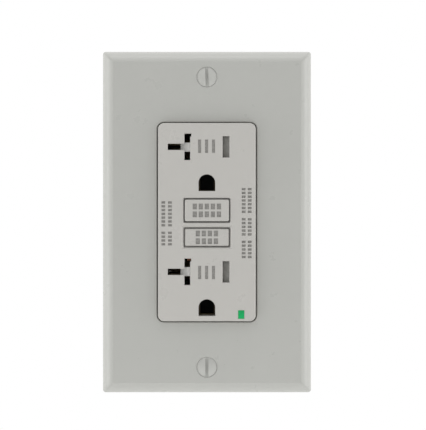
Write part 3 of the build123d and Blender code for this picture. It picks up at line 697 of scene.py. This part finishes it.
def area_light(name, size, power, spot, target, spread=180.0):
    """A square soft light at spot, aimed at target."""
    lamp = bpy.data.lights.new(name, "AREA")
    lamp.shape = "RECTANGLE"
    lamp.size, lamp.size_y = size
    lamp.energy = power
    lamp.spread = math.radians(spread)
    item = bpy.data.objects.new(name, lamp)
    bpy.context.scene.collection.objects.link(item)
    item.location = spot
    item.rotation_euler = (Vector(target) - Vector(spot)).to_track_quat("-Z", "Y").to_euler()
    return item


def surround(front, rear):
    """A white surround, brighter behind the object than in front of it, and plain white to the camera."""
    world = bpy.data.worlds.new("Surround")
    world.use_nodes = True
    tree = world.node_tree
    glow = tree.nodes["Background"]
    heading = tree.nodes.new("ShaderNodeSeparateXYZ")
    tree.links.new(tree.nodes.new("ShaderNodeTexCoord").outputs["Generated"], heading.inputs[0])
    tree.links.new(map_range(tree, heading.outputs["Y"], -0.35, 0.35, front, rear), glow.inputs["Strength"])
    glow.inputs["Color"].default_value = (1.0, 1.0, 1.0, 1.0)
    plain = tree.nodes.new("ShaderNodeBackground")
    plain.inputs["Color"].default_value = (1.0, 1.0, 1.0, 1.0)
    choice = tree.nodes.new("ShaderNodeMixShader")
    seen = tree.nodes.new("ShaderNodeLightPath")
    tree.links.new(seen.outputs["Is Camera Ray"], choice.inputs["Fac"])
    tree.links.new(glow.outputs[0], choice.inputs[1])
    tree.links.new(plain.outputs[0], choice.inputs[2])
    tree.links.new(choice.outputs[0], tree.nodes["World Output"].inputs["Surface"])
    return world


class RECEPTACLE_OT_stage(bpy.types.Operator):
    """Build the floor, the lights and the camera"""

    bl_idname = "receptacle.stage"
    bl_label = "Studio"

    def execute(self, context):
        stage = context.scene.receptacle_stage
        white, tree, shader = new_material("Studio sweep", roughness=0.9)
        shader.inputs["Base Color"].default_value = (0.93, 0.93, 0.925, 1.0)
        mesh = bpy.data.meshes.new("floor")
        half = FLOOR_HALF
        corners = [(-half, -half, stage.floor_z), (half, -half, stage.floor_z)]
        corners += [(half, half, stage.floor_z), (-half, half, stage.floor_z)]
        mesh.from_pydata(corners, [], [(0, 1, 2, 3)])
        mesh.materials.append(white)
        floor = bpy.data.objects.new("floor", mesh)
        context.scene.collection.objects.link(floor)
        world = surround(stage.sky_front, stage.sky_rear)
        context.scene.world = world
        centre = (0.0, -0.005, 0.0)
        area_light("key", (0.5, 0.5), stage.key, (-0.25, -0.75, 0.7), centre)
        area_light("left", (0.3, 0.8), stage.fill, (-0.9, -0.08, 0.0), centre)
        area_light("right", (0.3, 0.8), stage.fill, (0.9, -0.08, 0.0), centre)
        area_light("above", (0.8, 0.3), stage.fill * 0.8, (0.0, -0.08, 0.9), centre)
        lens = bpy.data.cameras.new("camera")
        lens.lens = stage.lens
        camera = bpy.data.objects.new("camera", lens)
        context.scene.collection.objects.link(camera)
        camera.location = (stage.shift_x, -stage.distance, stage.shift_z)
        camera.rotation_euler = (math.radians(90), 0.0, 0.0)
        context.scene.camera = camera
        context.scene.view_settings.view_transform = "Standard"
        return {"FINISHED"}


class RECEPTACLE_PT_panel(bpy.types.Panel):
    """Sidebar panel with the settings and one button per group of pieces"""

    bl_idname = "RECEPTACLE_PT_panel"
    bl_label = "Receptacle"
    bl_space_type = "VIEW_3D"
    bl_region_type = "UI"
    bl_category = "Receptacle"

    def draw(self, context):
        for settings in (context.scene.receptacle_colours, context.scene.receptacle_stage):
            box = self.layout.box()
            for name in settings.__annotations__:
                box.prop(settings, name)
        for operator in STEPS:
            self.layout.operator(operator.bl_idname)


STEPS = (
    RECEPTACLE_OT_plate,
    RECEPTACLE_OT_face,
    RECEPTACLE_OT_guards,
    RECEPTACLE_OT_lamp,
    RECEPTACLE_OT_mouldings,
    RECEPTACLE_OT_metalwork,
    RECEPTACLE_OT_threads,
    RECEPTACLE_OT_electronics,
    RECEPTACLE_OT_stage,
)
CLASSES = (ReceptacleColours, ReceptacleStage, *STEPS, RECEPTACLE_PT_panel)


def register():
    for item in CLASSES:
        bpy.utils.register_class(item)
    bpy.types.Scene.receptacle_colours = bpy.props.PointerProperty(type=ReceptacleColours)
    bpy.types.Scene.receptacle_stage = bpy.props.PointerProperty(type=ReceptacleStage)


def unregister():
    del bpy.types.Scene.receptacle_stage
    del bpy.types.Scene.receptacle_colours
    for item in reversed(CLASSES):
        bpy.utils.unregister_class(item)


def main():
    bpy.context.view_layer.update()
    register()
    for operator in STEPS:
        group, name = operator.bl_idname.split(".")
        getattr(getattr(bpy.ops, group), name)()


if __name__ == "__main__":
    main()
